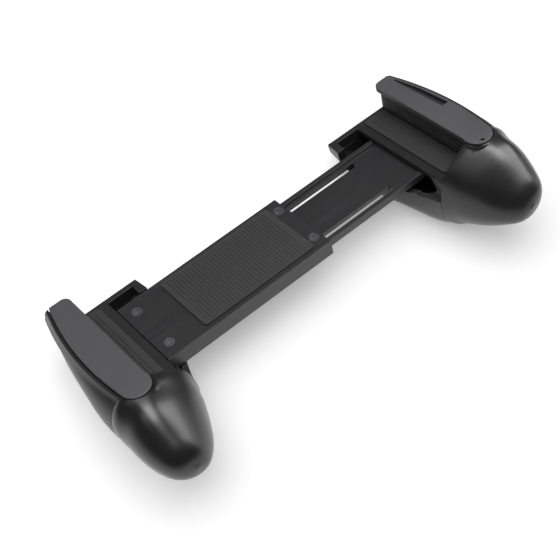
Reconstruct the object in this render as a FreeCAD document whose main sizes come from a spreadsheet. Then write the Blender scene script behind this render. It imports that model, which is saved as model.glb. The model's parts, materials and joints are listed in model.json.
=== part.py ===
import FreeCAD, Part
import Sketcher
import math
import os

Vec = FreeCAD.Vector
Turn = FreeCAD.Rotation
Place = FreeCAD.Placement

# A two-handed clip that stretches along X: a jaw and a horn at each end, a telescopic bridge between.
# Everything is drawn in the grip's own frame, X across, Y away from the hands, Z up and square to the
# jaws, with z = 0 at the top of the end walls. At the end the whole clip is leaned back to its rest.

doc = FreeCAD.newDocument("phone_clip")
sheet = doc.addObject("Spreadsheet::Sheet", "Sizes")

driving_sizes = (
    ("jawGap", 155.8, "clear length between the two end pads at the opening shown"),
    ("closing", 38.0, "travel of the right grip towards the left one"),
    ("opening", 10.0, "travel of the right grip away from the left one"),
    ("jawDepth", 11.5, "height of the jaw from its rest pads to the lips"),
    ("lipReach", 2.6, "how far a lip overhangs its end pad"),
    ("padThick", 1.0, "thickness of an end pad"),
    ("restPadThick", 0.8, "thickness of the pads under the held device"),
    ("padCorner", 1.5, "rounding of the pads' corners"),
    ("padInset", 2.0, "distance of a pad from the edges of its seat"),
    ("wall", 2.2, "moulded wall of the grips"),
    ("farEnd", 13.0, "Y of the far ends of the jaws"),
    ("seamPlace", -40.0, "Y of the joint between a housing and its horn"),
    ("seamGap", 0.2, "open line between two mouldings"),
    ("plateThick", 2.2, "thickness of a jaw plate"),
    ("plateSunk", 0.8, "how far a plate reaches below the level of the end wall's top"),
    ("plateGroove", 0.4, "open groove round a jaw plate"),
    ("plateProud", 0.2, "how far a plate stands above the rim round it"),
    ("rimWidth", 1.0, "flat top of the rim round a jaw plate"),
    ("plateFarWidth", 7.9, "width of a jaw plate along its far edge"),
    ("plateCorner", 3.0, "rounding of its far inner corner"),
    ("plateSweep", 124.0, "radius of its long outer edge"),
    ("lobeRadius", 5.9, "rounding of its near end"),
    ("lobeInset", 5.5, "lobe centre outward from the lip edge"),
    ("lobePlace", 40.4, "distance of the lobe centre towards the hands"),
    ("plateEdge", 0.5, "softened upper edge of the plate"),
    ("notchPlace", 4.6, "distance of the notch's far end from the jaw's far end"),
    ("notchEdge", 0.9, "width of plate left outside the notch at its far end"),
    ("notchLength", 27.0, "length of the notch in the right plate"),
    ("notchWidth", 3.4, "width of the notch at its near end"),
    ("notchDepth", 1.8, "depth of the notch at its outer wall"),
    ("pinHole", 1.7, "diameter of the hole near the right plate's end"),
    ("ledgeWidth", 15.9, "width of the ledge under the device, from the end wall inwards"),
    ("ledgeThick", 2.0, "thickness of that ledge"),
    ("windowInset", 1.0, "distance of the near window's outer side from the ledge's inner edge"),
    ("windowDeep", 7.9, "how far the near window reaches below the ledge"),
    ("windowLong", 10.0, "how far the near window runs back from the seam"),
    ("windowCorner", 3.5, "rounding of its lower outer corner"),
    ("coverNear", 29.0, "depth of the rear cover's joint at the seam"),
    ("coverFar", 16.5, "depth of the rear cover's joint at the far end"),
    ("bridgeWidth", 34.0, "width of the bridge across Y"),
    ("bridgeMiddle", 12.0, "distance of the bridge's centre line towards the hands"),
    ("bridgeDeep", 6.6, "height of the bridge's sleeve with its lid"),
    ("sleeveWall", 1.6, "side walls of the sleeve"),
    ("sleeveFloor", 1.4, "floor of the sleeve"),
    ("lidThick", 1.4, "thickness of the sleeve's lid"),
    ("sleeveReach", 14.0, "X of the sleeve's open end"),
    ("forkReach", 18.0, "how far the slide's fork reaches beyond the middle, into the sleeve"),
    ("webStart", 10.0, "X where the slide's fork joins its web"),
    ("slideGap", 0.3, "running gap round the slide"),
    ("slideWeb", 1.8, "thickness of the slide's web"),
    ("railWidth", 2.0, "width of the slide's side rails"),
    ("forkRoom", 1.8, "free width of the fork's opening outside a spring"),
    ("tabLength", 12.0, "length of the tabs under the ledges"),
    ("tabInset", 5.0, "how much narrower the sleeve's tab is on each side"),
    ("tabScrewEdge", 4.0, "distance of a tab's screws from its side"),
    ("tabScrewPlace", 6.5, "distance of a tab's screws from the end of the bridge"),
    ("screwShank", 2.8, "shank diameter of the screws"),
    ("screwHead", 5.0, "head diameter of the screws"),
    ("screwHeadHigh", 1.6, "head height of the screws"),
    ("screwFit", 0.1, "clearance round a shank, on the radius"),
    ("stopShank", 2.2, "shank diameter of the lid's screws, which also stop the slide"),
    ("stopFit", 0.2, "clearance round a stop in its slot"),
    ("stopMargin", 1.2, "material between a stop's slot and the slide's rail"),
    ("stopEnd", 3.0, "distance of the outer lid screws from the sleeve's open end"),
    ("postPlace", 5.0, "distance of the sleeve's posts and inner lid screws from its closed end"),
    ("slidePostPlace", 2.5, "distance of the slide's posts from the end of its fork"),
    ("restPadReach", 44.0, "how far the back rest pad reaches left of the middle"),
    ("bossRadius", 3.2, "radius of the screw bosses"),
    ("springCoil", 2.8, "mean diameter of the tension springs"),
    ("springWire", 0.6, "wire diameter of the springs"),
    ("springTurns", 16.0, "turns of a spring"),
    ("springSpread", 9.0, "distance between the two springs"),
    ("postRadius", 1.2, "radius of the spring posts"),
)
for row, (alias, number, note) in enumerate(driving_sizes, start=1):
    sheet.set("A%d" % row, alias)
    sheet.set("B%d" % row, str(number))
    sheet.set("C%d" % row, note)
    sheet.setAlias("B%d" % row, alias)
doc.recompute()


def size(alias):
    return float(sheet.get(alias))


# Planes and lines that several pieces share
wall = size("wall")
far_end = size("farEnd")
seam = size("seamPlace")
half_seam = size("seamGap") / 2
plate_base = -size("plateSunk")
plate_top = plate_base + size("plateThick")
pad_face = size("jawGap") / 2
end_wall = pad_face + size("padThick")
lip_edge = pad_face - size("lipReach")
ledge_inner = end_wall - size("ledgeWidth")
ledge_top = -size("jawDepth") - size("restPadThick")
ledge_under = ledge_top - size("ledgeThick")
lid_under = ledge_top - size("lidThick")
sleeve_bottom = ledge_top - size("bridgeDeep")
sleeve_floor = sleeve_bottom + size("sleeveFloor")
slide_bottom = sleeve_floor + size("slideGap")
web_top = slide_bottom + size("slideWeb")
bridge_y = -size("bridgeMiddle")
bridge_end_gap = 0.5
sleeve_end = ledge_inner - bridge_end_gap
tab_aside = size("bridgeWidth") / 2 - size("tabInset") - size("tabScrewEdge")
reach = 200.0
over = 1.0

# Sections of the right grip: inner, middle and outer X from the end wall, top Z from the plate's face,
# waist and bottom Z, how square the upper and the lower half are, the inner side's own waist, and how
# much the top narrows. The housing has them at equal steps from its far end to the seam, and a horn's
# row begins with its place along Y from the seam
housing_sections = (
    (-30.3, -8.9, 7.2, 0.0, -9.5, -24.6, 6.5, 3.0, -9.5, 0.0),
    (-31.1, -7.7, 8.9, 0.0, -10.0, -27.2, 4.8, 3.0, -10.0, 0.0),
    (-31.5, -6.3, 10.9, 0.0, -10.9, -29.4, 3.8, 2.8, -10.7, 0.0),
    (-30.1, -4.7, 12.4, 0.0, -12.0, -31.7, 3.2, 2.6, -11.2, 0.02),
    (-25.3, -3.1, 13.6, 0.0, -13.6, -35.1, 2.9, 2.5, -11.8, 0.08),
    (-20.9, -1.8, 14.7, 0.0, -15.3, -38.2, 2.75, 2.45, -12.9, 0.17),
    (-19.0, -0.9, 14.4, 0.0, -17.0, -37.4, 2.6, 2.2, -14.4, 0.25),
)
horn_sections = (
    (0.0, -19.0, -0.9, 14.4, 0.0, -17.0, -37.4, 2.6, 2.2, -14.4, 0.25),
    (-5.6, -16.9, -0.3, 14.2, -0.2, -17.6, -35.4, 2.5, 2.2, -15.9, 0.33),
    (-11.2, -14.5, 0.3, 14.0, -1.8, -18.4, -33.5, 2.35, 2.2, -17.8, 0.34),
    (-16.8, -11.7, 0.9, 13.2, -5.4, -19.2, -31.4, 2.2, 2.2, -19.5, 0.28),
    (-21.6, -8.8, 1.3, 11.7, -9.4, -19.8, -29.1, 2.1, 2.2, -20.3, 0.18),
    (-25.2, -5.7, 1.5, 9.5, -12.8, -20.0, -27.2, 2.1, 2.15, -20.6, 0.06),
    (-27.4, -2.5, 1.5, 5.9, -17.0, -20.1, -24.3, 2.1, 2.1, -20.5, 0.0),
    (-28.2, 0.7, 1.4, 2.2, -20.6, -20.0, -20.9, 2.1, 2.1, -20.0, 0.0),
)
curve_points = 20
hollow_corners = 8
greatest_lean = 0.2
lean_starts = 13.0
lean_complete = -25.0


def section_lean(y):
    share = min(max((lean_starts - y) / (lean_starts - lean_complete), 0.0), 1.0)
    return greatest_lean * share * share * (3 - 2 * share)


def oval_points(row, count, inset):
    # Four quarter ovals about the waist, narrowing and leaning outwards towards the top
    y, inner, middle, outer, top, waist, bottom, upper_fullness, lower_fullness, inner_waist, taper = row
    points = []
    for step in range(count):
        angle = 2 * math.pi * (step + 0.5) / count
        across, rise = math.cos(angle), math.sin(angle)
        fullness = upper_fullness if rise > 0 else lower_fullness
        across = math.copysign(abs(across) ** (2 / fullness), across)
        rise = math.copysign(abs(rise) ** (2 / fullness), rise)
        reach_x = (outer - middle if across > 0 else middle - inner) - inset
        level = waist if across > 0 else inner_waist
        reach_z = (top - level if rise > 0 else level - bottom) - inset
        if rise > 0:
            reach_x *= 1 - taper * rise ** 2
        z = level + reach_z * rise
        x = middle + reach_x * across + section_lean(y) * (z - waist)
        points.append(Vec(x, y, z))
    return points


def station(y, inner, middle, outer, top, *form):
    # A section keeps its form and follows the end wall and the plate's face
    across = [round(end_wall + distance, 6) for distance in (inner, middle, outer)]
    return [y] + across + [plate_top + top] + list(form)


def housing_stations():
    step = (far_end - seam) / (len(housing_sections) - 1)
    return [station(far_end - step * number, *row) for number, row in enumerate(housing_sections)]


def horn_stations():
    return [station(seam + row[0], *row[1:]) for row in horn_sections]


def smooth_loft(stations):
    wires = []
    for row in stations:
        curve = Part.BSplineCurve()
        marks = [float(mark) for mark in range(curve_points + 1)]
        curve.interpolate(Points=oval_points(row, curve_points, 0.0), PeriodicFlag=True, Parameters=marks)
        wires.append(Part.Wire([curve.toShape()]))
    return Part.makeLoft(wires, True, False)


def station_at(stations, y):
    for far_row, near_row in zip(stations, stations[1:]):
        if near_row[0] <= y <= far_row[0]:
            share = (far_row[0] - y) / (far_row[0] - near_row[0])
            return [a + (b - a) * share for a, b in zip(far_row, near_row)]
    return stations[0]


def faceted_loft(stations, places):
    # The plain hollow inside a grip, one wall in from its outside
    wires = []
    for y in places:
        corners = oval_points(station_at(stations, y), hollow_corners, wall)
        wires.append(Part.makePolygon(corners + corners[:1]))
    return Part.makeLoft(wires, True, True)


def block(x_low, x_high, y_low, y_high, z_low, z_high):
    return Part.makeBox(x_high - x_low, y_high - y_low, z_high - z_low, Vec(x_low, y_low, z_low))


def prism_along(corners, direction):
    face = Part.Face(Part.makePolygon(corners + corners[:1]))
    return face.extrude(direction)


def upright(x, y, z_low, z_high, radius):
    return Part.makeCylinder(radius, z_high - z_low, Vec(x, y, z_low))


# The far end's outline: room outside its section, widening towards the hands, and its roundings
far_room = 0.3
far_outer_slope = 0.28
far_inner_slope = 0.11
far_bottom_slope = 0.32
far_inner_round = 3.0
far_outer_round = 1.5
far_bottom_round = 4.0


def far_rounding(far_row):
    # Softens the corners of the far end: one prism seen from above, one seen from the side
    inner, outer, bottom = far_row[1] - far_room, far_row[3] + far_room, far_row[6] - far_room
    plan = prism_along([
        Vec(inner, far_end, -reach),
        Vec(outer, far_end, -reach),
        Vec(outer + far_outer_slope * reach, far_end - reach, -reach),
        Vec(inner - far_inner_slope * reach, far_end - reach, -reach),
    ], Vec(0, 0, 2 * reach))
    side = prism_along([
        Vec(0, far_end, reach),
        Vec(0, far_end, bottom),
        Vec(0, far_end - reach, bottom - far_bottom_slope * reach),
        Vec(0, far_end - reach, reach),
    ], Vec(2 * reach, 0, 0))
    for corner, radius in ((Vec(inner, far_end), far_inner_round), (Vec(outer, far_end), far_outer_round)):
        edges = [edge for edge in plan.Edges if edge.BoundBox.ZLength > reach
                 and Vec(edge.CenterOfMass.x, edge.CenterOfMass.y).distanceToPoint(corner) < 1e-3]
        plan = plan.makeFillet(radius, edges)
    low = Vec(0, far_end, bottom)
    edges = [edge for edge in side.Edges if edge.BoundBox.XLength > reach
             and Vec(0, edge.CenterOfMass.y, edge.CenterOfMass.z).distanceToPoint(low) < 1e-3]
    return plan.common(side.makeFillet(far_bottom_round, edges))


def cover_joint_z(y):
    slope = (size("coverNear") - size("coverFar")) / (far_end - seam)
    return -size("coverFar") - slope * (far_end - y)


def below_cover_joint(drop):
    far_y, near_y = far_end + reach, seam - reach
    corners = [
        Vec(-reach, far_y, cover_joint_z(far_y) - drop),
        Vec(-reach, near_y, cover_joint_z(near_y) - drop),
        Vec(-reach, near_y, -2 * reach),
        Vec(-reach, far_y, -2 * reach),
    ]
    return prism_along(corners, Vec(3 * reach, 0, 0))


def feature(label, shape):
    piece = doc.addObject("Part::Feature", label)
    piece.Label = label
    piece.Shape = shape
    return piece


def biggest(shape):
    return max(shape.Solids, key=lambda solid: solid.Volume)


# Sketch helpers: every distance is an expression on the sheet
def plan_sketch(body, name, height):
    sketch = body.newObject("Sketcher::SketchObject", name)
    plane = [item for item in body.Origin.OriginFeatures if item.Role == "XY_Plane"][0]
    sketch.AttachmentSupport = (plane, [""])
    sketch.MapMode = "FlatFace"
    sketch.setExpression("AttachmentOffset.Base.z", height)
    return sketch


def worth(expression):
    result = sheet.evalExpression(expression)
    return float(getattr(result, "Value", result))


def fix_point(sketch, geometry, end, x_text=None, y_text=None):
    for kind, text in (("DistanceX", x_text), ("DistanceY", y_text)):
        if text is not None:
            index = sketch.addConstraint(Sketcher.Constraint(kind, -1, 1, geometry, end, worth(text)))
            sketch.setExpression("Constraints[%d]" % index, text)


def rectangle(sketch, x_low, x_high, y_low, y_high):
    lows = (worth(x_low), worth(y_low))
    highs = (worth(x_high), worth(y_high))
    corners = [Vec(lows[0], lows[1]), Vec(highs[0], lows[1]), Vec(highs[0], highs[1]), Vec(lows[0], highs[1])]
    first = len(sketch.Geometry)
    for start, finish in zip(corners, corners[1:] + corners[:1]):
        sketch.addGeometry(Part.LineSegment(start, finish), False)
    for side in range(4):
        following = first + (side + 1) % 4
        sketch.addConstraint(Sketcher.Constraint("Coincident", first + side, 2, following, 1))
        sketch.addConstraint(Sketcher.Constraint("Horizontal" if side % 2 == 0 else "Vertical", first + side))
    fix_point(sketch, first, 1, x_low, y_low)
    fix_point(sketch, first + 1, 2, x_high, y_high)


def round_hole(sketch, x_text, y_text, diameter_text):
    centre = Vec(worth(x_text), worth(y_text))
    circle = sketch.addGeometry(Part.Circle(centre, Vec(0, 0, 1), worth(diameter_text) / 2), False)
    index = sketch.addConstraint(Sketcher.Constraint("Diameter", circle, worth(diameter_text)))
    sketch.setExpression("Constraints[%d]" % index, diameter_text)
    fix_point(sketch, circle, 3, x_text, y_text)


def new_body(label):
    body = doc.addObject("PartDesign::Body", label)
    body.Label = label
    return body


def pad(body, sketch, length):
    grown = body.newObject("PartDesign::Pad", sketch.Name + "_pad")
    grown.Profile = sketch
    grown.setExpression("Length", length)
    sketch.Visibility = False
    doc.recompute()
    return grown


def pocket(body, sketch, depth):
    # Cuts downwards from the sketch's plane, and says so if it cut nothing
    before = body.Shape.Volume
    cut = body.newObject("PartDesign::Pocket", sketch.Name + "_pocket")
    cut.Profile = sketch
    cut.setExpression("Length", depth)
    sketch.Visibility = False
    doc.recompute()
    if body.Shape.Volume > before - 1e-6:
        raise RuntimeError("nothing was cut by " + cut.Name)
    return cut


def soften(body, base, edge_names, radius):
    rounded = body.newObject("PartDesign::Fillet", base.Name + "_round")
    rounded.Base = (base, edge_names)
    rounded.setExpression("Radius", radius)
    doc.recompute()
    return rounded


def edges_where(shape, wanted):
    return ["Edge%d" % number for number, edge in enumerate(shape.Edges, start=1) if wanted(edge)]


# Jaw plates: a long blade with a round lobe over the horn, its upper edge softened
lip_text = "Sizes.jawGap / 2 - Sizes.lipReach"
lobe_x_text = lip_text + " + Sizes.lobeInset"
plate_far_text = "Sizes.farEnd - Sizes.seamGap"


def sweep_centre():
    # Centre of the long outer edge: through the far corner and touching the lobe from outside
    lobe = Vec(worth(lobe_x_text), -size("lobePlace"))
    radius, sweep = size("lobeRadius"), size("plateSweep")
    to_lobe = Vec(lip_edge + size("plateFarWidth"), worth(plate_far_text)) - lobe
    span = to_lobe.Length
    along = ((sweep - radius) ** 2 - sweep ** 2 + span ** 2) / (2 * span)
    aside = math.sqrt((sweep - radius) ** 2 - along ** 2)
    unit = to_lobe.normalize()
    centre = lobe + unit * along + Vec(-unit.y, unit.x) * aside
    if centre.x > lobe.x:
        centre = lobe + unit * along - Vec(-unit.y, unit.x) * aside
    return centre


def make_plate(label):
    body = new_body(label)
    sketch = plan_sketch(body, label + "_outline", "-Sizes.plateSunk")
    corner = size("plateCorner")
    lobe = Vec(worth(lobe_x_text), -size("lobePlace"))
    radius = size("lobeRadius")
    sweep = size("plateSweep")
    far_y = worth(plate_far_text)
    far_x = lip_edge + size("plateFarWidth")
    join = lobe.y + math.sqrt(radius ** 2 - size("lobeInset") ** 2)
    centre = sweep_centre()
    touch = centre + (lobe - centre).normalize() * sweep
    far_angle = math.atan2(far_y - centre.y, far_x - centre.x)
    touch_angle = math.atan2(touch.y - centre.y, touch.x - centre.x)
    start_angle = math.atan2(join - lobe.y, lip_edge - lobe.x)
    upward = Vec(0, 0, 1)
    inner = sketch.addGeometry(Part.LineSegment(Vec(lip_edge, join), Vec(lip_edge, far_y - corner)), False)
    round_circle = Part.Circle(Vec(lip_edge + corner, far_y - corner), upward, corner)
    rounding = sketch.addGeometry(Part.ArcOfCircle(round_circle, math.pi / 2, math.pi), False)
    far_line = sketch.addGeometry(
        Part.LineSegment(Vec(lip_edge + corner, far_y), Vec(far_x, far_y)), False)
    long_arc = sketch.addGeometry(
        Part.ArcOfCircle(Part.Circle(centre, upward, sweep), touch_angle, far_angle), False)
    lobe_arc = sketch.addGeometry(
        Part.ArcOfCircle(Part.Circle(lobe, upward, radius), start_angle - 2 * math.pi, touch_angle), False)
    add = sketch.addConstraint
    add(Sketcher.Constraint("Vertical", inner))
    add(Sketcher.Constraint("Horizontal", far_line))
    add(Sketcher.Constraint("Tangent", inner, 2, rounding, 2))
    add(Sketcher.Constraint("Tangent", rounding, 1, far_line, 1))
    add(Sketcher.Constraint("Coincident", far_line, 2, long_arc, 2))
    add(Sketcher.Constraint("Tangent", long_arc, 1, lobe_arc, 2))
    add(Sketcher.Constraint("Coincident", lobe_arc, 1, inner, 1))
    for arc, alias in ((rounding, "plateCorner"), (long_arc, "plateSweep"), (lobe_arc, "lobeRadius")):
        index = add(Sketcher.Constraint("Radius", arc, size(alias)))
        sketch.setExpression("Constraints[%d]" % index, "Sizes." + alias)
    fix_point(sketch, lobe_arc, 3, lobe_x_text, "-Sizes.lobePlace")
    fix_point(sketch, inner, 2, lip_text)
    fix_point(sketch, far_line, 2, lip_text + " + Sizes.plateFarWidth", plate_far_text)
    blade = pad(body, sketch, "Sizes.plateThick")
    upper = edges_where(blade.Shape, lambda edge: edge.BoundBox.ZMin > plate_top - 1e-3)
    soften(body, blade, upper, "Sizes.plateEdge")
    return body


right_blank = make_plate("right_plate_blank")
left_blank = make_plate("left_plate_blank")


# Stations of the notch: share of its length, of its width and of its depth, and extra distance inwards
notch_stations = ((0.0, 0.25, 0.45, 0.0), (0.45, 0.9, 0.85, 0.1), (1.0, 1.0, 1.0, 0.25))
pin_inset = 4.2
pin_beyond_lobe = 4.0
pin_depth = 1.2


def make_notch():
    # A finger notch along the outer edge: upright outer wall, floor that ramps up to the inner side
    centre = sweep_centre()
    wires = []
    for share, wide, deep, inwards in notch_stations:
        y = far_end - size("notchPlace") - size("notchLength") * share
        edge_x = centre.x + math.sqrt(size("plateSweep") ** 2 - (y - centre.y) ** 2)
        start = Vec(edge_x - size("notchEdge") - inwards, y, plate_top)
        width = size("notchWidth") * wide
        depth = size("notchDepth") * deep
        corners = [start, start - Vec(0, 0, depth), start - Vec(width, 0, 0), start + Vec(0, 0, over)]
        wires.append(Part.makePolygon(corners + corners[:1]))
    notch = Part.makeLoft(wires, True, True)
    hole_x, hole_y = lip_edge + pin_inset, -size("lobePlace") - pin_beyond_lobe
    return notch.fuse(upright(hole_x, hole_y, plate_top - pin_depth, plate_top + over, size("pinHole") / 2))


notch_tool = feature("plate_notch", make_notch())
right_plate = doc.addObject("Part::Cut", "right_jaw_plate")
right_plate.Label = "right_jaw_plate"
right_plate.Base = right_blank
right_plate.Tool = notch_tool
doc.recompute()

# Screws of the rear cover, in the right grip: place and the height of the seat under the head
screw_grip = 1.6
screw_bite = 6.0
hole_spare = 0.6
far_screw_inset = 8.0
far_screw_outside = 2.6
middle_screw_beyond_seam = 9.5
middle_screw_outside = 5.6
near_screw_before_seam = 4.0
near_screw_inside = 3.7
cover_screw_places = (
    (end_wall + far_screw_outside, far_end - far_screw_inset),
    (end_wall + middle_screw_outside, seam + middle_screw_beyond_seam),
    (end_wall - near_screw_inside, seam - near_screw_before_seam),
)
ledge_screw_x = sleeve_end + size("tabScrewPlace")
ledge_screw_places = ((ledge_screw_x, bridge_y + tab_aside), (ledge_screw_x, bridge_y - tab_aside))


def cover_seat(y):
    return cover_joint_z(y) - screw_grip


def grip_recess():
    # The seat of a jaw plate: its outline grown by the groove, open upwards
    base = min(right_blank.Shape.Faces, key=lambda face: face.CenterOfMass.z)
    grown = base.makeOffset2D(size("plateGroove"))
    return Part.Face(grown.OuterWire).extrude(Vec(0, 0, reach))


# How far the rim's outer side spreads and drops
rim_spread = 1.6
rim_drop = 3.2


def plate_rim():
    # A raised rim round the plate's seat, its outer side sloping down into the grip
    base = min(right_blank.Shape.Faces, key=lambda face: face.CenterOfMass.z)
    top = plate_top - size("plateProud")
    wires = []
    for spread, height in ((size("rimWidth"), top), (size("rimWidth") + rim_spread, top - rim_drop)):
        outline = base.makeOffset2D(size("plateGroove") + spread).OuterWire
        outline.translate(Vec(0, 0, height))
        wires.append(outline)
    rim = Part.makeLoft(wires, True, True)
    return rim.common(block(end_wall - wall, reach, -reach, far_end, -reach, reach).fuse(
        block(0, reach, -reach, seam, -reach, reach)))


# Room beside and below the bridge where it enters a grip
mouth_side = 1.0
mouth_below = 0.5


def grip_openings():
    # What is taken out of both the housing and the cover of one grip
    jaw = block(-reach, end_wall, seam, reach, ledge_top, reach)
    bridge_half = size("bridgeWidth") / 2 + mouth_side
    mouth = block(0, ledge_inner, bridge_y - bridge_half, bridge_y + bridge_half,
                  sleeve_bottom - mouth_below, reach)
    return jaw.fuse(mouth)


def screw_bosses(places):
    bosses = []
    for x, y in places:
        bosses.append(upright(x, y, -reach, 0, size("bossRadius")))
    return bosses


def screw_holes(places):
    radius = size("screwShank") / 2 + size("screwFit")
    holes = []
    for x, y in places:
        seat = cover_seat(y)
        holes.append(upright(x, y, -reach, seat + screw_bite + hole_spare, radius))
        holes.append(upright(x, y, -reach, seat, size("screwHead") / 2 + 2 * size("screwFit")))
    return holes


def ledge_boss(foot):
    # Short bosses under the ledge for the bridge's tab, with blind holes
    return [upright(x, y, foot, ledge_under, size("bossRadius")) for x, y in ledge_screw_places]


def ledge_holes():
    radius = size("screwShank") / 2 + size("screwFit")
    return [upright(x, y, -reach, ledge_top - hole_spare, radius) for x, y in ledge_screw_places]


# Where the hollows have their sections: shares of the housing's length, depths into the horn
housing_hollow_shares = (0.5, 0.75)
horn_hollow_depths = (12.0, 20.0, 24.5)
housing_rows = housing_stations()
horn_rows = horn_stations()
recess = grip_recess()
rim = plate_rim()
housing_body = smooth_loft(housing_rows).common(far_rounding(housing_rows[0]))
housing_outside = housing_body.fuse(rim.common(block(0, reach, seam, reach, -reach, reach)))
horn_outside = smooth_loft(horn_rows).fuse(rim.common(block(0, reach, -reach, seam, -reach, reach)))
far_places = [far_end - wall] + [far_end + (seam - far_end) * share for share in housing_hollow_shares]
far_places.append(seam + wall)
horn_places = [seam - wall] + [seam - depth for depth in horn_hollow_depths]
roof = plate_base - wall
side_room = block(end_wall + wall, reach, -reach, reach, -reach, roof)
under_room = block(0, reach, -reach, reach, -reach, ledge_under)
bridge_room = block(0, ledge_inner, -reach, reach, -reach, reach)
housing_hollow = faceted_loft(housing_rows, far_places).common(side_room.multiFuse([under_room, bridge_room]))
housing_hollow = housing_hollow.cut(Part.makeCompound(screw_bosses(cover_screw_places[:2])))
horn_hollow = faceted_loft(horn_rows, horn_places).common(block(0, reach, -reach, reach, -reach, roof))
horn_hollow = horn_hollow.cut(Part.makeCompound(screw_bosses(cover_screw_places[2:])))
all_screw_holes = Part.makeCompound(screw_holes(cover_screw_places))


def near_window():
    # The near wall of the housing is cut away at the inner side, leaving a lip below
    outer = ledge_inner - size("windowInset")
    low = ledge_top - size("windowDeep")
    window = block(outer - reach, outer, seam - over, seam + size("windowLong"), low, over)
    edges = [edge for edge in window.Edges
             if edge.BoundBox.XMin > outer - 1e-3 and edge.BoundBox.ZMax < low + 1e-3]
    return window.makeFillet(size("windowCorner"), edges)


def make_housing(foot):
    shell = housing_outside.cut(housing_hollow).cut(grip_openings()).cut(recess)
    shell = shell.cut(near_window()).cut(below_cover_joint(0.0))
    shell = shell.cut(block(-reach, reach, -reach, seam + half_seam, -reach, reach))
    shell = shell.multiFuse(ledge_boss(foot)).cut(Part.makeCompound(ledge_holes())).cut(all_screw_holes)
    return biggest(shell)


def make_horn():
    shell = horn_outside.cut(horn_hollow).cut(recess).cut(below_cover_joint(0.0))
    shell = shell.cut(block(-reach, reach, seam - half_seam, reach, -reach, reach))
    return biggest(shell.cut(all_screw_holes))


def make_cover():
    far_part = housing_outside.cut(housing_hollow).cut(grip_openings()).common(below_cover_joint(half_seam))
    near_part = horn_outside.cut(horn_hollow).common(below_cover_joint(half_seam))
    whole = biggest(far_part).fuse(biggest(near_part)).removeSplitter()
    return biggest(whole.cut(all_screw_holes))


slide_foot = web_top
tray_foot = sleeve_floor
right_housing = feature("right_jaw_housing", make_housing(slide_foot))
left_housing_blank = feature("left_housing_blank", make_housing(tray_foot))
right_horn = feature("right_horn_shell", make_horn())
right_cover = feature("right_rear_cover", make_cover())


# Screws: a domed head with a cross recess on a plain shank, standing head down
dome_share = 0.45
cross_reach_share = 0.32
cross_half_share = 0.11
cross_depth_share = 0.55


def cross_tool(x, y, arm, half, z_low, z_high):
    along = block(x - arm, x + arm, y - half, y + half, z_low, z_high)
    return along.fuse(block(x - half, x + half, y - arm, y + arm, z_low, z_high))


def make_screw(x, y, seat, shank_length, shank, head, head_high):
    dome = upright(x, y, seat - head_high, seat, head / 2)
    low_edges = [edge for edge in dome.Edges if edge.BoundBox.ZMax < seat - head_high + 1e-6]
    dome = dome.makeFillet(head_high * dome_share, low_edges)
    body = dome.fuse(upright(x, y, seat, seat + shank_length, shank / 2))
    low = seat - head_high
    arm, half = head * cross_reach_share, head * cross_half_share
    return body.cut(cross_tool(x, y, arm, half, low - over, low + head_high * cross_depth_share))


def grip_screw(x, y, seat, length):
    return make_screw(x, y, seat, length, size("screwShank"), size("screwHead"), size("screwHeadHigh"))


ledge_spare = 1.0
right_cover_screws = feature("right_cover_screws", Part.makeCompound(
    [grip_screw(x, y, cover_seat(y), screw_bite) for x, y in cover_screw_places]))
slide_screws = feature("slide_screws", Part.makeCompound(
    [grip_screw(x, y, slide_bottom, ledge_top - ledge_spare - slide_bottom) for x, y in ledge_screw_places]))
sleeve_screws = feature("sleeve_screws", Part.makeCompound(
    [grip_screw(-x, y, sleeve_bottom, ledge_top - ledge_spare - sleeve_bottom) for x, y in ledge_screw_places]))


# Pads: thin rubber, corners rounded
def make_pad(label, x_low, x_high, y_low, y_high, z_low, thick):
    body = new_body(label)
    sketch = plan_sketch(body, label + "_outline", z_low)
    rectangle(sketch, x_low, x_high, y_low, y_high)
    slab = pad(body, sketch, thick)
    corners = edges_where(slab.Shape, lambda edge: edge.BoundBox.ZLength > worth(thick) - 1e-3)
    soften(body, slab, corners, "Sizes.padCorner")
    return body


rest_height = "-Sizes.jawDepth - Sizes.restPadThick"
wall_text = "Sizes.jawGap / 2 + Sizes.padThick"
right_ledge_pad = make_pad(
    "right_ledge_pad", wall_text + " - Sizes.ledgeWidth + 1.8 * Sizes.padInset",
    wall_text + " - Sizes.padThick - 0.1 * Sizes.padInset", "Sizes.seamPlace + 2 * Sizes.padInset",
    "Sizes.farEnd - Sizes.padInset", rest_height, "Sizes.restPadThick")


def make_end_pad():
    inset = size("padInset")
    slab = block(pad_face, end_wall, seam + 2 * inset, far_end - inset, ledge_top + 0.6 * inset,
                 plate_base - 0.4 * inset)
    edges = [edge for edge in slab.Edges if edge.BoundBox.XLength > size("padThick") - 1e-3]
    return slab.makeFillet(size("padCorner"), edges)


right_end_pad = feature("right_end_pad", make_end_pad())

# Bridge sleeve: an open tray fixed under the left ledge, with spring posts on its floor
half_width = "Sizes.bridgeWidth / 2"
low_side = "-Sizes.bridgeMiddle - " + half_width
high_side = "-Sizes.bridgeMiddle + " + half_width
floor_text = rest_height + " - Sizes.bridgeDeep"
middle_text = "-Sizes.bridgeMiddle"
sleeve_left_text = "-(" + wall_text + " - Sizes.ledgeWidth - %g)" % bridge_end_gap
tab_left_text = sleeve_left_text + " - Sizes.tabLength"
tab_aside_text = "(" + half_width + " - Sizes.tabInset - Sizes.tabScrewEdge)"
stop_aside_text = ("(" + half_width + " - Sizes.sleeveWall - Sizes.slideGap - Sizes.railWidth"
                   " - Sizes.stopShank / 2 - Sizes.stopFit - Sizes.stopMargin)")
fork_half_text = "(Sizes.springSpread / 2 + Sizes.springCoil / 2 + Sizes.springWire / 2 + Sizes.forkRoom)"
shank_hole_text = "Sizes.screwShank + 2 * Sizes.screwFit"
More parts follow.
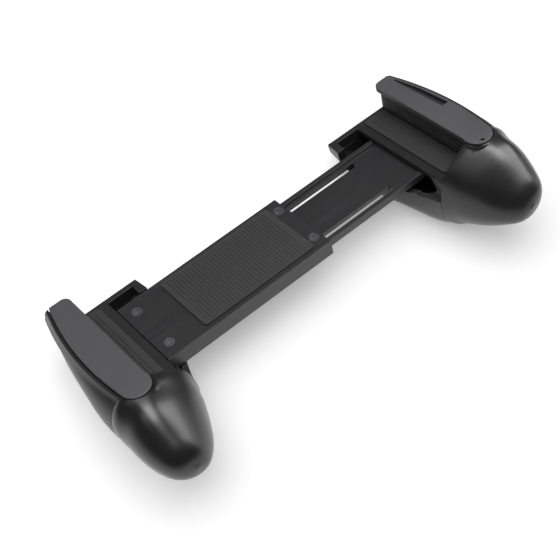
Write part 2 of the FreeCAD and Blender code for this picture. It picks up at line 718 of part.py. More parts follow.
stop_hole_text = "Sizes.stopShank + 2 * Sizes.screwFit"


def make_sleeve():
    body = new_body("bridge_sleeve")
    outline = plan_sketch(body, "sleeve_outline", floor_text)
    rectangle(outline, sleeve_left_text, "Sizes.sleeveReach", low_side, high_side)
    pad(body, outline, "Sizes.bridgeDeep - Sizes.lidThick")
    channel = plan_sketch(body, "sleeve_channel", rest_height + " - Sizes.lidThick")
    rectangle(channel, sleeve_left_text + " + Sizes.sleeveWall", "Sizes.sleeveReach + 1",
              low_side + " + Sizes.sleeveWall", high_side + " - Sizes.sleeveWall")
    pocket(body, channel, "Sizes.bridgeDeep - Sizes.lidThick - Sizes.sleeveFloor")
    tab = plan_sketch(body, "sleeve_tab", floor_text)
    rectangle(tab, tab_left_text, sleeve_left_text + " + Sizes.sleeveWall",
              low_side + " + Sizes.tabInset", high_side + " - Sizes.tabInset")
    pad(body, tab, "Sizes.sleeveFloor")
    posts = plan_sketch(body, "sleeve_posts", floor_text)
    for sign in (" + ", " - "):
        round_hole(posts, sleeve_left_text + " + Sizes.postPlace",
                   middle_text + sign + "Sizes.springSpread / 2", "2 * Sizes.postRadius")
    pad(body, posts, "Sizes.bridgeDeep - Sizes.lidThick - Sizes.slideGap")
    holes = plan_sketch(body, "sleeve_holes", floor_text + " + Sizes.sleeveFloor")
    for sign in (" + ", " - "):
        round_hole(holes, sleeve_left_text + " - Sizes.tabScrewPlace", middle_text + sign + tab_aside_text,
                   shank_hole_text)
    pocket(body, holes, "Sizes.sleeveFloor + 1")
    seats = plan_sketch(body, "sleeve_lid_holes", floor_text + " + Sizes.sleeveFloor")
    for x_text in lid_screw_x:
        for sign in (" + ", " - "):
            round_hole(seats, x_text, middle_text + sign + stop_aside_text, stop_hole_text)
    pocket(body, seats, "Sizes.sleeveFloor + 1")
    return body


lid_screw_x = (sleeve_left_text + " + Sizes.postPlace", "Sizes.sleeveReach - Sizes.stopEnd")
lid_chamfer = 1.0
bridge_sleeve = make_sleeve()


def make_lid():
    body = new_body("sleeve_lid")
    outline = plan_sketch(body, "lid_outline", rest_height + " - Sizes.lidThick")
    rectangle(outline, sleeve_left_text, "Sizes.sleeveReach", low_side, high_side)
    slab = pad(body, outline, "Sizes.lidThick")
    holes = plan_sketch(body, "lid_holes", rest_height)
    for x_text in lid_screw_x:
        for sign in (" + ", " - "):
            round_hole(holes, x_text, middle_text + sign + stop_aside_text, stop_hole_text)
    drilled = pocket(body, holes, "Sizes.lidThick + 1")
    rims = edges_where(drilled.Shape, lambda edge: edge.Curve.TypeId == "Part::GeomCircle"
                       and edge.BoundBox.ZMin > ledge_top - 1e-3)
    sunk = body.newObject("PartDesign::Chamfer", "lid_countersinks")
    sunk.Base = (drilled, rims)
    sunk.Size = lid_chamfer
    doc.recompute()
    return body


sleeve_lid = make_lid()
back_rest_pad = make_pad("back_rest_pad", "-Sizes.restPadReach", "Sizes.sleeveReach - 2 * Sizes.stopEnd",
                         low_side + " + Sizes.padInset", high_side + " - Sizes.padInset", rest_height,
                         "Sizes.restPadThick")

# Slide: a web with two rails, forked at its inner end round the springs, fixed under the right ledge
slide_low_text = floor_text + " + Sizes.sleeveFloor + Sizes.slideGap"
slide_half = half_width + " - Sizes.sleeveWall - Sizes.slideGap"
slide_right_text = "(" + wall_text + " - Sizes.ledgeWidth - %g)" % bridge_end_gap
rail_height = "Sizes.bridgeDeep - Sizes.lidThick - Sizes.sleeveFloor - 2 * Sizes.slideGap"


def make_slide():
    body = new_body("bridge_slide")
    outline = plan_sketch(body, "slide_outline", slide_low_text)
    rectangle(outline, "-Sizes.forkReach", slide_right_text + " + Sizes.tabLength",
              middle_text + " - (" + slide_half + ")", middle_text + " + " + slide_half)
    pad(body, outline, "Sizes.slideWeb")
    rails = plan_sketch(body, "slide_rails", slide_low_text)
    rectangle(rails, "-Sizes.forkReach", slide_right_text, middle_text + " - (" + slide_half + ")",
              middle_text + " - (" + slide_half + ") + Sizes.railWidth")
    rectangle(rails, "-Sizes.forkReach", slide_right_text,
              middle_text + " + " + slide_half + " - Sizes.railWidth", middle_text + " + " + slide_half)
    pad(body, rails, rail_height)
    fork = plan_sketch(body, "slide_fork", slide_low_text + " + Sizes.slideWeb")
    rectangle(fork, "-Sizes.forkReach - 1", "Sizes.webStart", middle_text + " - " + fork_half_text,
              middle_text + " + " + fork_half_text)
    pocket(body, fork, "Sizes.slideWeb + 1")
    slots = plan_sketch(body, "slide_stop_slots", slide_low_text + " + Sizes.slideWeb")
    room = "Sizes.stopShank / 2 + Sizes.stopFit"
    for sign in (" - ", " + "):
        centre = middle_text + sign + stop_aside_text
        rectangle(slots, "Sizes.sleeveReach - Sizes.stopEnd - Sizes.opening - (" + room + ")",
                  "Sizes.sleeveReach - Sizes.stopEnd + Sizes.closing + " + room,
                  centre + " - (" + room + ")", centre + " + " + room)
    pocket(body, slots, "Sizes.slideWeb + 1")
    holes = plan_sketch(body, "slide_screw_holes", slide_low_text + " + Sizes.slideWeb")
    posts = plan_sketch(body, "slide_spring_posts", slide_low_text)
    for sign in (" - ", " + "):
        round_hole(holes, slide_right_text + " + Sizes.tabScrewPlace", middle_text + sign + tab_aside_text,
                   shank_hole_text)
        round_hole(posts, "Sizes.webStart + Sizes.slidePostPlace",
                   middle_text + sign + "Sizes.springSpread / 2", "2 * Sizes.postRadius")
    pocket(body, holes, "Sizes.slideWeb + 1")
    pad(body, posts, rail_height)
    return body


bridge_slide = make_slide()


# Lid screws: a countersunk head just below the lid's face, the shank through the slot to the floor
cone_high = 0.95
lid_screw_lift = 0.3
lid_cross = (1.1, 0.3, 0.6)


def make_lid_screw(x, y):
    radius = size("stopShank") / 2
    arm, half, deep = lid_cross
    cone = Part.makeCone(radius, radius + cone_high, cone_high, Vec(x, y, ledge_top - lid_chamfer))
    shank = upright(x, y, sleeve_bottom + lid_screw_lift, ledge_top - cone_high, radius)
    return cone.fuse(shank).cut(cross_tool(x, y, arm, half, ledge_top - deep, ledge_top + over))


lid_screws = feature("lid_screws", Part.makeCompound(
    [make_lid_screw(worth(x_text), bridge_y + side * worth(stop_aside_text))
     for x_text in lid_screw_x for side in (-1, 1)]))


# Tension springs: a stretched coil with a ring at each end round its post
def rod_between(start, finish, radius):
    return Part.makeCylinder(radius, (finish - start).Length, start, finish - start)


ring_lift = 0.15
ring_to_coil = 1.2


def make_spring(y):
    wire = size("springWire") / 2
    coil = size("springCoil") / 2
    ring = size("postRadius") + size("slideGap") + wire
    ring_z = web_top + wire + ring_lift
    axis_z = (sleeve_floor + lid_under) / 2
    left_post = -sleeve_end + size("postPlace")
    right_post = size("webStart") + size("slidePostPlace")
    left_coil = left_post + ring + ring_to_coil
    length = right_post - ring - ring_to_coil - left_coil
    helix = Part.makeHelix(length / size("springTurns"), length, coil)
    profile = Part.Wire([Part.makeCircle(wire, Vec(coil, 0, 0), Vec(0, 1, 0))])
    body = Part.Wire(helix).makePipeShell([profile], True, True)
    body.Placement = Place(Vec(left_coil, y, axis_z), Turn(Vec(0, 1, 0), 90) * Turn(Vec(0, 0, 1), 180))
    pieces = [body]
    for post, side, coil_x in ((left_post, 1, left_coil), (right_post, -1, left_coil + length)):
        pieces.append(Part.makeTorus(ring, wire, Vec(post, y, ring_z), Vec(0, 0, 1)))
        pieces.append(rod_between(Vec(post + side * ring, y, ring_z), Vec(coil_x, y, axis_z + coil), wire))
    return pieces[0].multiFuse(pieces[1:])


near_spring = feature("near_tension_spring", make_spring(bridge_y - size("springSpread") / 2))
far_spring = feature("far_tension_spring", make_spring(bridge_y + size("springSpread") / 2))
doc.recompute()

# The left grip mirrors the right one, apart from its plain plate and its deeper ledge bosses
right_and_middle = [right_plate, right_housing, right_horn, right_cover, right_cover_screws, right_end_pad,
                    right_ledge_pad, bridge_sleeve, sleeve_lid, back_rest_pad, bridge_slide, lid_screws,
                    slide_screws, sleeve_screws, near_spring, far_spring]
mirrored_sources = (
    ("left_jaw_plate", left_blank), ("left_jaw_housing", left_housing_blank), ("left_horn_shell", right_horn),
    ("left_rear_cover", right_cover), ("left_cover_screws", right_cover_screws),
    ("left_end_pad", right_end_pad), ("left_ledge_pad", right_ledge_pad),
)


def resting_lean():
    # The clip lies on the longest straight line under its side view
    marks = []
    for piece in (right_housing, right_cover, right_horn):
        corners = piece.Shape.tessellate(0.1)[0]
        marks.extend((corner.y, corner.z) for corner in corners)
    hull = []
    for mark in sorted(set(marks)):
        while len(hull) > 1:
            (y1, z1), (y2, z2) = hull[-2:]
            if (y2 - y1) * (mark[1] - z1) > (z2 - z1) * (mark[0] - y1):
                break
            hull.pop()
        hull.append(mark)
    near_mark, far_mark = max(zip(hull, hull[1:]), key=lambda pair: pair[1][0] - pair[0][0])
    return math.degrees(math.atan2(far_mark[1] - near_mark[1], far_mark[0] - near_mark[0]))


lean_angle = resting_lean()
lean = Turn(Vec(1, 0, 0), -lean_angle)
all_shapes = Part.makeCompound([piece.Shape for piece in right_and_middle])
all_shapes.Placement = Place(Vec(), lean)
box = all_shapes.optimalBoundingBox(True, False)
rest = Place(Vec(0, -(box.YMin + box.YMax) / 2, -box.ZMin), lean)
for piece in right_and_middle + [left_blank, left_housing_blank]:
    piece.Placement = rest
left_pieces = []
for label, source in mirrored_sources:
    mirror = doc.addObject("Part::Mirroring", label)
    mirror.Label = label
    mirror.Source = source
    mirror.Normal = Vec(1, 0, 0)
    left_pieces.append(mirror)
doc.recompute()

for item in doc.Objects:
    if "Invalid" in item.State or "Error" in item.State:
        raise RuntimeError("failed: " + item.Label)
finished = right_and_middle + left_pieces
for piece in finished:
    if piece.Shape.isNull() or not piece.Shape.isValid():
        raise RuntimeError("bad shape: " + piece.Label)

os.makedirs("parts", exist_ok=True)
for piece in finished:
    piece.Shape.exportStep("parts/" + piece.Label + ".step")
    print("%-22s %2d solids %10.1f mm3" % (piece.Label, len(piece.Shape.Solids), piece.Shape.Volume))
print("lean %.4f degrees, rest offset y %.4f z %.4f" % (lean_angle, rest.Base.y, rest.Base.z))
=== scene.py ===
import json
import math

import bmesh
import bpy
from mathutils import Matrix, Vector


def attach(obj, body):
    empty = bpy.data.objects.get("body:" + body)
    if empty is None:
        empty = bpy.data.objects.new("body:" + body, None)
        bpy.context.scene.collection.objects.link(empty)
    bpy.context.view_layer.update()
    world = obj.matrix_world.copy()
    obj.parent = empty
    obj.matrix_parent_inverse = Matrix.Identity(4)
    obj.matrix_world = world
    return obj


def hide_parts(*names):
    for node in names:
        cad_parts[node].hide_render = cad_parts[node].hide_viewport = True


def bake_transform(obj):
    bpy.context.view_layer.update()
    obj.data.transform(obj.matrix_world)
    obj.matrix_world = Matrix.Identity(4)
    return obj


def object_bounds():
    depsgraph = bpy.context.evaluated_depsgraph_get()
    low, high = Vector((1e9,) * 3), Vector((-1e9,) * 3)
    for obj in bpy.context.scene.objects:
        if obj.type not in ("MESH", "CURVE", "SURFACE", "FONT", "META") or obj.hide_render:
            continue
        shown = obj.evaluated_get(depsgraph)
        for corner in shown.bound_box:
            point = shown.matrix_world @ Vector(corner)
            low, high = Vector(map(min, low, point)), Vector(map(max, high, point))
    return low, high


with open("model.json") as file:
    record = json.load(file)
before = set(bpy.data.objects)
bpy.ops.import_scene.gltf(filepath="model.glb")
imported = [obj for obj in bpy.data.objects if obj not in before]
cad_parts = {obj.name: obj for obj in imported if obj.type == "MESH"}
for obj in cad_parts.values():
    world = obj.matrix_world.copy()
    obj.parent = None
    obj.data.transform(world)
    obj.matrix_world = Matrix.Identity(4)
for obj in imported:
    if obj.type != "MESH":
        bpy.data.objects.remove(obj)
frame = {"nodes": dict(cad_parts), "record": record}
cadLow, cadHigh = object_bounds()
record = frame["record"]
nodes = frame["nodes"]
scene = bpy.context.scene
millimetre = 0.001
print("frame loaded:", len(nodes), "nodes")


# The grip's own frame, in millimetres: X across, Y away from the hands, Z square to the jaws.
# The back rest mount says where it lies in the row frame.
restMount = next(m for m in record["mounts"] if m["name"] == "back_rest")
restPoint = Vector((-18.0, -12.0, -11.5)) * millimetre
leanAngle = math.atan2(restMount["axis"][1], restMount["axis"][2])
leanTurn = Matrix.Rotation(-leanAngle, 4, "X")
gripPlace = Matrix.Translation(Vector(restMount["pos_m"]) - leanTurn @ restPoint) @ leanTurn


def gripCorners(name):
    # Lowest and highest corner of a CAD node in the grip's frame, in millimetres
    inverse = gripPlace.inverted()
    places = [inverse @ vertex.co / millimetre for vertex in nodes[name].data.vertices]
    low = Vector([min(place[axis] for place in places) for axis in range(3)])
    high = Vector([max(place[axis] for place in places) for axis in range(3)])
    return low, high


# Camera
cameraView = {
    "lens": 77.14,            # mm
    "frameWidth": 36,         # mm
    "azimuth": -28.1765,      # degrees, in the grip's frame
    "elevation": 46.2741,
    "roll": -15.1142,
    "target": (-16.97, -39.84, -0.3),
    "distance": 423.29,
    "nearest": 0.01,          # metres, what the camera sees
    "farthest": 20,
}


def makeCamera(view):
    a, e, r = (math.radians(view[key]) for key in ("azimuth", "elevation", "roll"))
    back = Vector((math.sin(a) * math.cos(e), -math.cos(a) * math.cos(e), math.sin(e)))
    level = Vector((math.cos(a), math.sin(a), 0))
    upright = back.cross(level)
    right = level * math.cos(r) + upright * math.sin(r)
    up = upright * math.cos(r) - level * math.sin(r)
    place = (Vector(view["target"]) + back * view["distance"]) * millimetre
    turn = Matrix((right, up, back)).transposed().to_4x4()
    data = bpy.data.cameras.new("photoCamera")
    data.lens = view["lens"]
    data.sensor_width = view["frameWidth"]
    data.clip_start = view["nearest"]
    data.clip_end = view["farthest"]
    camera = bpy.data.objects.new("photoCamera", data)
    scene.collection.objects.link(camera)
    camera.matrix_world = gripPlace @ Matrix.Translation(place) @ turn
    scene.camera = camera


makeCamera(cameraView)
print("camera placed")


# Shader maths: a wrapped socket takes part in Python expressions
class Wire:
    def __init__(self, tree, socket):
        self.tree = tree
        self.socket = socket

    def combine(self, kind, first, second):
        maths = self.tree.nodes.new("ShaderNodeMath")
        maths.operation = kind
        for place, value in enumerate((first, second)):
            if isinstance(value, Wire):
                self.tree.links.new(value.socket, maths.inputs[place])
            else:
                maths.inputs[place].default_value = value
        return Wire(self.tree, maths.outputs[0])

    def __add__(self, other):
        return self.combine("ADD", self, other)

    def __sub__(self, other):
        return self.combine("SUBTRACT", self, other)

    def __rsub__(self, other):
        return self.combine("SUBTRACT", other, self)

    def __mul__(self, other):
        return self.combine("MULTIPLY", self, other)

    def __truediv__(self, other):
        return self.combine("DIVIDE", self, other)

    def clipped(self, low, high):
        return self.combine("MINIMUM", self.combine("MAXIMUM", self, low), high)


# A material, or the world, while its nodes are laid out
class Finish:
    def __init__(self, name, tree=None):
        self.material = None
        if tree is None:
            self.material = bpy.data.materials.new(name)
            self.material.use_nodes = True
            tree = self.material.node_tree
        self.tree = tree
        self.tree.nodes.clear()

    def node(self, kind, settings=None, inputs=None, output=0):
        made = self.tree.nodes.new(kind)
        for key, value in (settings or {}).items():
            setattr(made, key, value)
        for key, value in (inputs or {}).items():
            if isinstance(value, Wire):
                self.tree.links.new(value.socket, made.inputs[key])
            elif value is not None:
                made.inputs[key].default_value = value
        return Wire(self.tree, made.outputs[output]) if made.outputs else made

    def coordinates(self, scale=(1, 1, 1)):
        place = self.node("ShaderNodeTexCoord", output="Object")
        return self.node("ShaderNodeMapping", {}, {"Vector": place, "Scale": scale})

    def noise(self, scale, detail, rough, stretch=(1, 1, 1)):
        return self.node("ShaderNodeTexNoise", {}, {
            "Vector": self.coordinates(stretch), "Scale": scale, "Detail": detail, "Roughness": rough})

    def dot(self, first, second):
        return self.node("ShaderNodeVectorMath", {"operation": "DOT_PRODUCT"},
                         {0: first, 1: second}, output="Value")

    def blend(self, share, first, second):
        # Mix node sockets for colours: factor 0, A 6, B 7, result 2
        return self.node("ShaderNodeMix", {"data_type": "RGBA"}, {
            0: share, 6: first if isinstance(first, Wire) else (*first, 1),
            7: second if isinstance(second, Wire) else (*second, 1)}, output=2)

    def bump(self, height, strength, distance, normal=None):
        return self.node("ShaderNodeBump", {}, {
            "Height": height, "Strength": strength, "Distance": distance, "Normal": normal})

    def edges(self, radius, samples=4, contrast=5):
        # The rounded normal near an edge, and a mask that is 1 on the edge itself
        rounded = self.node("ShaderNodeBevel", {"samples": samples}, {"Radius": radius})
        flat = self.node("ShaderNodeNewGeometry", output="Normal")
        return rounded, ((1 - self.dot(rounded, flat)) * contrast).clipped(0, 1)

    def surface(self, **values):
        names = {
            "colour": "Base Color", "roughness": "Roughness", "metallic": "Metallic", "normal": "Normal"}
        shader = self.node("ShaderNodeBsdfPrincipled", {}, {
            names[key]: value for key, value in values.items()}, output="BSDF")
        self.node("ShaderNodeOutputMaterial", {}, {"Surface": shader})
        return self.material


# Finishes. A noise is its scale per metre, its detail and its roughness. A bump is its strength and
# its depth in metres. What ends in Gloss is how far that noise changes the roughness.
noiseMiddle = 0.5
mouldedGrain = {
    "clouds": (60, 4, 0.5),   # slow changes of shade and gloss
    "grainShare": 0.4,        # of the shade; the clouds have the rest
    "patches": 0.8,           # how patchy the paler edges are, partly wear and partly painted highlight
    "cloudGloss": 0.12,
    "grainGloss": 0.1,
    "edgeGloss": 0.12,
}
plateLook = {
    **mouldedGrain,
    "dark": (0.0515, 0.0505, 0.0555),
    "pale": (0.065, 0.064, 0.07),
    "roughness": 0.62,
    "grain": (5200, 2, 0.6),
    "bump": (0.5, 0.00003),
    "edge": 0.0003,           # how wide the rounded, paler edge is, in metres
    # paler edges: partly wear, partly a painted highlight
    "wearAndHighlight": (0.11, 0.11, 0.12),
    # painted shade: the plate's sides and notch are darkened as if in shadow
    "side": (0.014, 0.014, 0.016),
    "shadeStartDepth": 0.0002,      # metres below the plate's face where the painted shade of the sides and recesses begins
    "sideDepth": 0.0005,      # and where it is full
}
bodyLook = {
    **mouldedGrain,
    "dark": (0.012, 0.012, 0.013),
    "pale": (0.018, 0.018, 0.02),
    "roughness": 0.4,
    "grain": (4200, 2, 0.6),
    "bump": (0.5, 0.000015),
    "edge": 0.0003,
    # paler edges: partly wear, partly a painted highlight
    "wearAndHighlight": (0.05, 0.05, 0.053),
}
hornLook = {
    "dark": (0.007, 0.007, 0.0075),
    "pale": (0.011, 0.011, 0.012),
    "roughness": 0.33,
    "peel": (420, 1, 0.5),    # a faint orange peel
    "marks": (95, 5, 0.6),    # finger marks
    "fine": (2600, 2, 0.5),
    "fineShare": 0.3,         # of the bump; the peel has the rest
    "bump": (0.25, 0.00002),
    "marksGloss": 0.12,
    "fineGloss": 0.05,
}
bridgeLook = {
    "dark": (0.016, 0.016, 0.018),
    "pale": (0.026, 0.026, 0.028),
    "roughness": 0.4,
    "drag": (900, 3, 0.6),    # rubbed along X
    "dragStretch": (0.03, 1, 1),
    "dragShare": 0.5,         # of the shade; the clouds have the rest
    "clouds": (80, 3, 0.5),
    "bump": (0.3, 0.00002),
    "edge": 0.00025,
    # paler edges: partly wear, partly a painted highlight
    "wearAndHighlight": (0.07, 0.07, 0.073),
    "patches": 0.8,
    "dragGloss": 0.25,
    "edgeGloss": 0.1,
}
padLook = {
    "dark": (0.01, 0.01, 0.01),
    "pale": (0.026, 0.026, 0.026),
    "roughness": 0.75,
    "fine": (1800, 3, 0.5),
    "bloom": (140, 4, 0.6),   # a powdery bloom
    "bloomShare": 0.6,        # of the shade; the fine noise has the rest
    "bump": (0.4, 0.00003),
    "bloomGloss": 0.2,
}
brushedMetal = {
    "brush": (1500, 3, 0.5),
    "darkest": 0.8,           # of the colour
    "bump": (0.2, 0.00001),
    "brushGloss": 0.2,
}
screwLook = {**brushedMetal, "colour": (0.3, 0.3, 0.31), "roughness": 0.38}
springLook = {**brushedMetal, "colour": (0.55, 0.55, 0.56), "roughness": 0.25}


def depthBelow(make, top):
    # How far a point lies below a level of the grip's frame, in metres
    upward = leanTurn.to_3x3() @ Vector((0, 0, 1))
    level = gripPlace.translation.dot(upward) + top
    place = make.node("ShaderNodeTexCoord", output="Object")
    return level - make.dot(place, tuple(upward))


def wearAndHighlightShade(make, shade, edge, clouds, look):
    # Patchy paler edges: partly wear, partly a painted highlight on the rounded edges
    return make.blend(edge * (clouds * look["patches"] + (1 - look["patches"])), shade, look["wearAndHighlight"])


def texturedPlastic(name, look):
    # Moulded plastic with a spark-eroded grain and slow changes of shade and gloss; its paler edges are
    # partly wear and partly a painted highlight, and where the look has painted shade its sides and
    # recesses are darkened
    make = Finish(name)
    clouds = make.noise(*look["clouds"])
    grain = make.noise(*look["grain"])
    rounded, edge = make.edges(look["edge"])
    mixed = clouds * (1 - look["grainShare"]) + grain * look["grainShare"]
    shade = make.blend(mixed, look["dark"], look["pale"])
    shade = wearAndHighlightShade(make, shade, edge, clouds, look)
    if "side" in look:        # painted shade: sides and recesses below the plate's face are darkened
        below = depthBelow(make, gripCorners("left_jaw_plate")[1].z * millimetre)
        side = ((below - look["shadeStartDepth"]) / (look["sideDepth"] - look["shadeStartDepth"])).clipped(0, 1)
        shade = make.blend(side, shade, look["side"])
    gloss = ((clouds - noiseMiddle) * look["cloudGloss"] + (grain - noiseMiddle) * look["grainGloss"]
             - edge * look["edgeGloss"] + look["roughness"])
    return make.surface(colour=shade, roughness=gloss, normal=make.bump(grain, *look["bump"], rounded))


def satinPlastic(name, look):
    # Smooth moulded plastic: a faint orange peel, finger marks in the gloss
    make = Finish(name)
    peel = make.noise(*look["peel"])
    marks = make.noise(*look["marks"])
    fine = make.noise(*look["fine"])
    shade = make.blend(marks, look["dark"], look["pale"])
    gloss = ((marks - noiseMiddle) * look["marksGloss"] + (fine - noiseMiddle) * look["fineGloss"]
             + look["roughness"])
    height = peel * (1 - look["fineShare"]) + fine * look["fineShare"]
    return make.surface(colour=shade, roughness=gloss, normal=make.bump(height, *look["bump"]))


def slidePlastic(name, look):
    # Hard plastic rubbed along X by the sliding parts
    make = Finish(name)
    drag = make.noise(*look["drag"], look["dragStretch"])
    clouds = make.noise(*look["clouds"])
    rounded, edge = make.edges(look["edge"])
    mixed = drag * look["dragShare"] + clouds * (1 - look["dragShare"])
    shade = make.blend(mixed, look["dark"], look["pale"])
    shade = wearAndHighlightShade(make, shade, edge, clouds, look)
    gloss = (drag - noiseMiddle) * look["dragGloss"] - edge * look["edgeGloss"] + look["roughness"]
    return make.surface(colour=shade, roughness=gloss, normal=make.bump(drag, *look["bump"], rounded))


def padRubber(name, look):
    # Soft matt rubber with a powdery bloom
    make = Finish(name)
    fine = make.noise(*look["fine"])
    bloom = make.noise(*look["bloom"])
    mixed = fine * (1 - look["bloomShare"]) + bloom * look["bloomShare"]
    shade = make.blend(mixed, look["dark"], look["pale"])
    gloss = (bloom - noiseMiddle) * look["bloomGloss"] + look["roughness"]
    return make.surface(colour=shade, roughness=gloss, normal=make.bump(fine, *look["bump"]))


def plainMetal(name, look):
    make = Finish(name)
    brush = make.noise(*look["brush"])
    dark = tuple(part * look["darkest"] for part in look["colour"])
    gloss = (brush - noiseMiddle) * look["brushGloss"] + look["roughness"]
    return make.surface(colour=make.blend(brush, dark, look["colour"]), metallic=1.0, roughness=gloss,
                        normal=make.bump(brush, *look["bump"]))


finishes = {
    "plate": texturedPlastic("charcoalPlate", plateLook),
    "horn": satinPlastic("satinHorn", hornLook),
    "housing": texturedPlastic("blackBody", bodyLook),
    "bridge": slidePlastic("bridgePlastic", bridgeLook),
    "pad": padRubber("padRubber", padLook),
    "screw": plainMetal("blackScrew", screwLook),
    "spring": plainMetal("springWire", springLook),
}
finishes["cover"] = finishes["housing"]
finishes["slide"] = finishes["bridge"]
print("finishes made:", len(finishes))


# CAD nodes keep their shape; a small node group joins their triangles and shades the curved faces smooth
smoothing = {
    "weld": 0.000002,         # metres
    "sharpest": 32,           # degrees, the steepest edge that is shaded smooth
}


def smoothingGroup(values):
    group = bpy.data.node_groups.new("smoothCurves", "GeometryNodeTree")
    group.interface.new_socket("Geometry", in_out="INPUT", socket_type="NodeSocketGeometry")
    group.interface.new_socket("Geometry", in_out="OUTPUT", socket_type="NodeSocketGeometry")
    new, link = group.nodes.new, group.links.new
    start, end = new("NodeGroupInput"), new("NodeGroupOutput")
    merge = new("GeometryNodeMergeByDistance")
    edgeAngle = new("GeometryNodeInputMeshEdgeAngle")
    compare = new("FunctionNodeCompare")
    faces = new("GeometryNodeSetShadeSmooth")
    edges = new("GeometryNodeSetShadeSmooth")
    merge.inputs["Distance"].default_value = values["weld"]
    compare.operation = "GREATER_THAN"
    compare.inputs["B"].default_value = math.radians(values["sharpest"])
    edges.domain = "EDGE"
    edges.inputs["Shade Smooth"].default_value = False
    link(start.outputs[0], merge.inputs["Geometry"])
    link(merge.outputs[0], faces.inputs["Geometry"])
    link(faces.outputs[0], edges.inputs["Geometry"])
    link(edgeAngle.outputs["Unsigned Angle"], compare.inputs["A"])
    link(compare.outputs[0], edges.inputs["Selection"])
    link(edges.outputs[0], end.inputs[0])
    return group


smoothCurves = smoothingGroup(smoothing)
slotOf = {row["node"]: row["material_slot"] for row in record["subparts"]}
for name, piece in nodes.items():
    piece.data.materials.clear()
    piece.data.materials.append(finishes[slotOf[name]])
    smoother = piece.modifiers.new("smoothCurves", "NODES")
    smoother.node_group = smoothCurves
print("CAD nodes dressed")


# Ribs moulded on the rubber pads, along Y of the grip, half sunk into the pad's face
ribs = {
    "pitch": 1.5,             # mm, as all of these apart from the counts
    "width": 0.8,
    "height": 0.22,
    "margin": 1.6,            # left smooth round a pad's edge
    "sides": 16,
    "endRound": 0.1,
    "endSteps": 2,
    "level": 0.001,           # an edge that rises less along Y lies in a rib's end
}
padFaces = (
    ("back_rest_pad", "left_grip", "backRestRibs", "up"),
    ("left_ledge_pad", "left_grip", "leftLedgeRibs", "up"),
    ("right_ledge_pad", "right_grip", "rightLedgeRibs", "up"),
    ("left_end_pad", "left_grip", "leftEndRibs", "right"),
    ("right_end_pad", "right_grip", "rightEndRibs", "left"),
)


def makeRibs(padName, body, name, facing, values):
    low, high = gripCorners(padName)
    middle = (low + high) / 2
    across = 0 if facing == "up" else 2        # the ribs are spaced along this axis
    room = high[across] - low[across] - 2 * values["margin"] - values["width"]
    count = int(room / values["pitch"]) + 1
    length = high.y - low.y - 2 * values["margin"]
    form = bmesh.new()
    for number in range(count):
        place = middle.copy()
        place[across] += (number - (count - 1) / 2) * values["pitch"]
        if facing == "up":
            place.z = high.z
            scale = (values["width"] / 2, length, values["height"])
        else:
            place.x = high.x if facing == "right" else low.x
            scale = (values["height"], length, values["width"] / 2)
        rib = bmesh.ops.create_cone(form, cap_ends=True, segments=values["sides"],
                                    radius1=1, radius2=1, depth=1,
                                    matrix=Matrix.Rotation(math.pi / 2, 4, "X"))
        bmesh.ops.scale(form, verts=rib["verts"], vec=scale)
        bmesh.ops.translate(form, verts=rib["verts"], vec=place)
    ends = [edge for edge in form.edges
            if abs(edge.verts[0].co.y - edge.verts[1].co.y) < values["level"]]
    bmesh.ops.bevel(form, geom=ends, offset=values["endRound"], affect="EDGES",
                    segments=values["endSteps"], profile=0.5, material=-1)
    for facet in form.faces:
        facet.smooth = len(facet.verts) <= 4   # a rib's flat ends have more corners
    bmesh.ops.transform(form, verts=form.verts, matrix=gripPlace @ Matrix.Scale(millimetre, 4))
    mesh = bpy.data.meshes.new(name)
    form.to_mesh(mesh)
    form.free()
    piece = bpy.data.objects.new(name, mesh)
    scene.collection.objects.link(piece)
    mesh.materials.append(finishes["pad"])
    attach(piece, body)


for pad in padFaces:
    makeRibs(*pad, ribs)
print("pad ribs made:", len(padFaces))


# Tension springs: each is its CAD node's coil again, welded and shaded smooth, in place of the hidden
# node
springs = {
    "hookReach": 0.006,       # the length at each end that moves with its post
    "pieces": {"nearSpringWire": "near_tension_spring", "farSpringWire": "far_tension_spring"},
}


def makeSpring(name, node):
    form = bmesh.new()
    form.from_mesh(nodes[node].data)
    bmesh.ops.remove_doubles(form, verts=form.verts, dist=smoothing["weld"])
    for facet in form.faces:
        facet.smooth = True
    mesh = bpy.data.meshes.new(name)
    form.to_mesh(mesh)
    form.free()
    mesh.materials.clear()
    mesh.materials.append(finishes["spring"])
    piece = bpy.data.objects.new(name, mesh)
    scene.collection.objects.link(piece)
    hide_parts(node)
    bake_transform(piece)


for name, node in springs["pieces"].items():
    makeSpring(name, node)
print("springs made:", len(springs["pieces"]))


# Floor, lamps and surroundings
studio = {
    "floorSize": 60.0,
    "floorDrop": 0.0002,      # the floor lies this far below the clip
    "floorColour": (0.88, 0.88, 0.88),
    "floorGlow": 0.27,        # added where the camera sees the floor
    "floorGloss": 0.55,       # and where the object mirrors it
    "fadeStart": 0.16,        # metres from the object's middle where the floor begins to fade to white
    "fadeEnd": 0.42,
    "farGloss": 0.1,          # how white the far floor is in reflections
    "skyStrength": 0.4,
    "skyGloss": 0.08,         # the dim room that the black plastic mirrors
}


def seenRays(make):
    # 1 for camera and transmission rays, and 1 for glossy rays
    camera = make.node("ShaderNodeLightPath", output="Is Camera Ray")
    through = make.node("ShaderNodeLightPath", output="Is Transmission Ray")
    glossy = make.node("ShaderNodeLightPath", output="Is Glossy Ray")
    return (camera + through * (1 - glossy)).clipped(0, 1), glossy


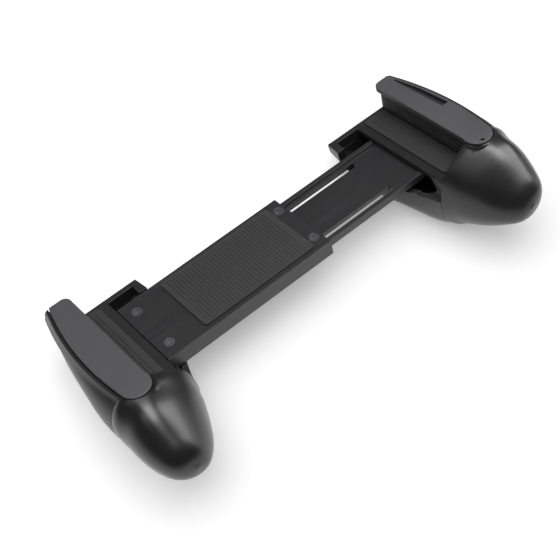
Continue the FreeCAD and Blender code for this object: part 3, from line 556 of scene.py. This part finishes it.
def makeFloor(values):
    form = bmesh.new()
    bmesh.ops.create_grid(form, x_segments=1, y_segments=1, size=values["floorSize"] / 2)
    bmesh.ops.translate(form, verts=form.verts, vec=(0, 0, cadLow.z - values["floorDrop"]))
    mesh = bpy.data.meshes.new("floor")
    form.to_mesh(mesh)
    form.free()
    floor = bpy.data.objects.new("floor", mesh)
    scene.collection.objects.link(floor)
    make = Finish("paleFloor")
    clear, glossy = seenRays(make)
    white = (1, 1, 1, 1)
    plain = make.node("ShaderNodeBsdfDiffuse", {}, {"Color": (*values["floorColour"], 1)})
    glow = make.node("ShaderNodeEmission", {}, {
        "Color": white, "Strength": clear * values["floorGlow"] + glossy * values["floorGloss"]})
    near = make.node("ShaderNodeAddShader", {}, {0: plain, 1: glow})
    far = make.node("ShaderNodeEmission", {}, {
        "Color": white, "Strength": clear + glossy * values["farGloss"]})
    place = make.node("ShaderNodeTexCoord", output="Object")
    distance = make.node("ShaderNodeVectorMath", {"operation": "LENGTH"}, {0: place}, output="Value")
    fade = ((distance - values["fadeStart"]) / (values["fadeEnd"] - values["fadeStart"])).clipped(0, 1)
    whole = make.node("ShaderNodeMixShader", {}, {0: fade, 1: near, 2: far})
    make.node("ShaderNodeOutputMaterial", {}, {"Surface": whole})
    mesh.materials.append(make.material)


def makeWorld(values):
    world = bpy.data.worlds.new("studio")
    scene.world = world
    world.use_nodes = True
    make = Finish("studio", world.node_tree)
    clear, glossy = seenRays(make)
    sky, gloss = values["skyStrength"], values["skyGloss"]
    plain = make.node("ShaderNodeBackground", {}, {
        "Color": (1, 1, 1, 1), "Strength": clear * (1 - sky) + glossy * (gloss - sky) + sky})
    make.node("ShaderNodeOutputWorld", {}, {"Surface": plain})


# Name, place, what it faces, size, power, whether it lights surfaces and whether it shows in their gloss
lamps = (
    ("overheadSoftbox", (-0.15, 0.25, 1.2), (0, 0, 0), (1.6, 1.6), 14.3, True, False),
    ("overheadCard", (0.06, 0.09, 1.3), (0.06, 0.09, 0), (0.58, 1.02), 19, False, True),
    ("rightCard", (0.19, -0.06, 0.22), (-0.03, -0.03, 0.02), (0.15, 0.23), 0.74, False, True),
    ("rightLowCard", (1.15, -0.4, 0.15), (0, 0, 0), (0.5, 0.35), 1.2, False, True),
    ("leftCard", (-0.65, 0.05, 1.1), (0, 0, 0), (0.5, 0.8), 2, False, True),
)


def makeLamp(name, place, target, size, power, lights, shows):
    data = bpy.data.lights.new(name, "AREA")
    data.shape = "RECTANGLE"
    data.size, data.size_y = size
    data.energy = power
    lamp = bpy.data.objects.new(name, data)
    scene.collection.objects.link(lamp)
    lamp.location = place
    lamp.rotation_mode = "QUATERNION"
    lamp.rotation_quaternion = (Vector(target) - Vector(place)).to_track_quat("-Z", "Y")
    lamp.visible_camera = False
    lamp.visible_diffuse = lights
    lamp.visible_glossy = shows


makeFloor(studio)
makeWorld(studio)
for lamp in lamps:
    makeLamp(*lamp)
scene.view_settings.view_transform = "Standard"
print("studio ready")
